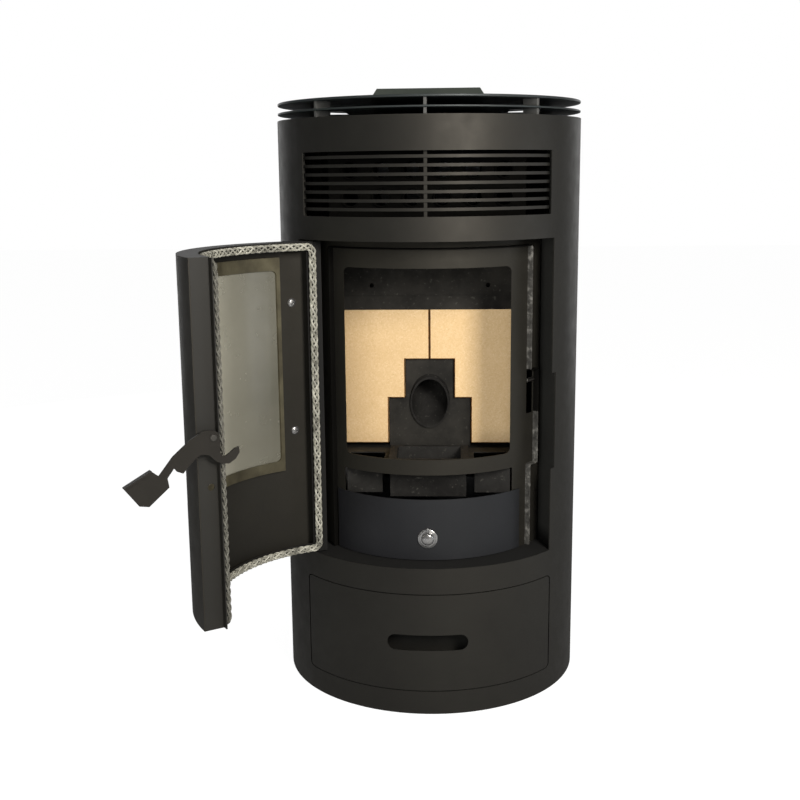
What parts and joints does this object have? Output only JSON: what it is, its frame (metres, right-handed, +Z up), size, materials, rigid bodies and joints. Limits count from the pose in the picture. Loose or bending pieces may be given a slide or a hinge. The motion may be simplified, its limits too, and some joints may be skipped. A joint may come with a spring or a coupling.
{
  "type": "pellet stove",
  "caption": "Cylindrical wood-pellet stove with a curved glazed door standing open, an ash drawer, a base drawer and a hopper lid.",
  "frame": {"origin": "centre of the round base, on the floor", "axes": "+Z up; the front with the door faces -Y; +X is to the right when the front is looked at"},
  "size_m": [0.6501, 0.9151, 1.029],
  "materials": {
    "casing_paint": "satin heat-proof charcoal paint",
    "inner_paint": "matt black heat-proof paint",
    "drawer_paint": "satin charcoal paint, slightly blue",
    "zinc_steel": "plain galvanised sheet",
    "chrome": "polished",
    "fire_brick": "pressed vermiculite board, speckled tan",
    "rope": "knitted glass-fibre rope, grey and black",
    "glass": "ceramic glass, slightly smoked",
    "glass_border": "brown heat-tinted frame",
    "motor": "dark grey",
    "plastic": "black moulded plastic",
    "circuit_case": "green-grey moulded case"
  },
  "bodies": {
    "stove": {"base_plate": "inner_paint", "chassis_posts": "inner_paint", "front_casing": "casing_paint", "rear_casing": "casing_paint", "top_deck": "inner_paint", "lower_disc": "casing_paint", "lower_spacers": "casing_paint", "top_disc": "casing_paint", "upper_spacers": "casing_paint", "hopper": "zinc_steel", "lid_hinge": "zinc_steel", "hopper_guard": "zinc_steel", "outlet_grille": "casing_paint", "exchanger_tubes": "zinc_steel", "exchanger_plates": "inner_paint", "recess_surround": "inner_paint", "front_plate": "inner_paint", "seal_ridge": "inner_paint", "latch_keeper": "zinc_steel", "firebox_shell": "inner_paint", "fireback_left": "fire_brick", "fireback_right": "fire_brick", "lintel_plate": "inner_paint", "burner_plate": "inner_paint", "pellet_chute": "inner_paint", "pot_holder": "inner_paint", "air_box": "inner_paint", "air_inlet_pipe": "zinc_steel", "igniter": "zinc_steel", "auger_housing": "zinc_steel", "auger_motor": "motor", "smoke_duct": "inner_paint", "exhaust_fan_housing": "zinc_steel", "exhaust_motor": "motor", "flue_pipe": "inner_paint", "blower_housing": "zinc_steel", "blower_motor": "motor", "control_box": "circuit_case", "power_inlet": "plastic", "ash_runners": "zinc_steel", "base_runners": "zinc_steel", "hinge_pins": "zinc_steel"},
    "door": {"door_skin": "casing_paint", "door_frame": "inner_paint", "door_panel": "inner_paint", "door_glass": "glass", "glass_frame": "glass_border", "door_screws": "chrome", "rope_seal": "rope", "latch_pivot": "chrome"},
    "latch": {"latch_handle": "casing_paint"},
    "ash_drawer": {"ash_drawer": "drawer_paint"},
    "drawer_knob": {"drawer_knob": "chrome"},
    "base_drawer": {"base_drawer": "casing_paint"},
    "hopper_lid": {"hopper_lid": "casing_paint"},
    "burn_pot": {"burn_pot": "inner_paint"},
    "auger": {"auger_screw": "zinc_steel"},
    "exhaust_fan": {"exhaust_impeller": "zinc_steel"},
    "room_blower": {"blower_wheel": "zinc_steel"},
    "power_switch": {"power_switch": "plastic"}
  },
  "joints": [
    {"name": "door_swing", "type": "hinge", "parent": "stove", "child": "door", "pos_m": [-0.1881, -0.16009, 0.52], "axis": [0, 0, -1], "range_deg": [-107, 13]},
    {"name": "latch_turn", "type": "hinge", "parent": "door", "child": "latch", "pos_m": [-0.28329, -0.5313, 0.538], "axis": [-0.5548, 0.832, 0], "range_deg": [-34, 30]},
    {"name": "ash_drawer_slide", "type": "slide", "parent": "stove", "child": "ash_drawer", "axis": [0, -1, 0], "range_m": [0, 0.2]},
    {"name": "drawer_knob_turn", "type": "hinge", "parent": "ash_drawer", "child": "drawer_knob", "pos_m": [0, -0.2195, 0.294], "axis": [0, -1, 0], "range_deg": [0, 90]},
    {"name": "base_drawer_slide", "type": "slide", "parent": "stove", "child": "base_drawer", "axis": [0, -1, 0], "range_m": [0, 0.18]},
    {"name": "hopper_lid_lift", "type": "hinge", "parent": "stove", "child": "hopper_lid", "pos_m": [0, 0.177, 1.011], "axis": [-1, 0, 0], "range_deg": [0, 85]},
    {"name": "burn_pot_lift", "type": "slide", "parent": "stove", "child": "burn_pot", "axis": [0, 0, 1], "range_m": [0, 0.08]},
    {"name": "auger_turn", "type": "hinge", "parent": "stove", "child": "auger", "pos_m": [0, 0.19, 0.5316], "axis": [0, -0.7458, 0.6662], "continuous": true},
    {"name": "exhaust_fan_turn", "type": "hinge", "parent": "stove", "child": "exhaust_fan", "pos_m": [-0.095, 0.125, 0.15], "axis": [0, 1, 0], "continuous": true},
    {"name": "room_blower_turn", "type": "hinge", "parent": "stove", "child": "room_blower", "pos_m": [0.09, 0.12, 0.13], "axis": [1, 0, 0], "continuous": true},
    {"name": "power_switch_rock", "type": "hinge", "parent": "stove", "child": "power_switch", "pos_m": [0.13283, 0.21999, 0.076], "axis": [0.8829, -0.4695, 0], "range_deg": [-10, 10]}
  ]
}
